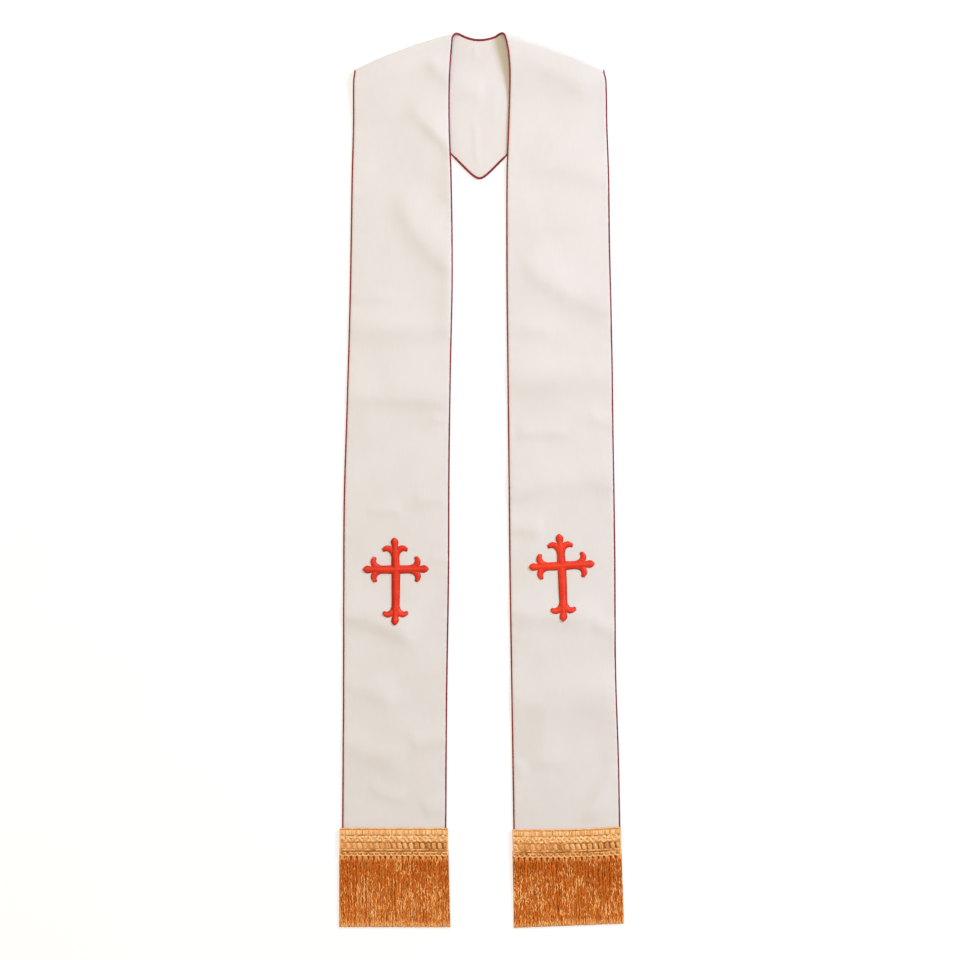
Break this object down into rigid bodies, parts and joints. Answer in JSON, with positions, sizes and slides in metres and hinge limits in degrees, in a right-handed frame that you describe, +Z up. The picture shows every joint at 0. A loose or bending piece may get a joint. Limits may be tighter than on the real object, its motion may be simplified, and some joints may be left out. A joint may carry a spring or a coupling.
{
  "type": "clerical stole",
  "caption": "Clerical stole laid flat: long lined fronts folded at the shoulders over a pointed back panel, with piped edges, embroidered crosses, gold braid and fringed hems.",
  "frame": {"origin": "on the surface that the stole lies on, under the middle of the whole stole", "axes": "+Y from the fringed hems to the neck, +Z up from the surface, +X to the right seen from above with the neck at the top"},
  "size_m": [0.3988, 1.2532, 0.0149],
  "materials": {
    "cloth": "matt ivory woven cloth",
    "piping": "wine-red satin drawn tight over a cord",
    "cross": "satin-stitched red thread",
    "braid": "gold gimp braid with a soft sheen",
    "fringe": "lustrous rayon threads, old gold"
  },
  "bodies": {
    "root": {"band_left": "cloth", "band_right": "cloth", "piping_inner": "piping", "piping_outer": "piping", "cross_left": "cross", "cross_right": "cross", "braid_left": "braid", "braid_right": "braid", "fringe_left": "fringe", "fringe_right": "fringe"}
  },
  "joints": []
}
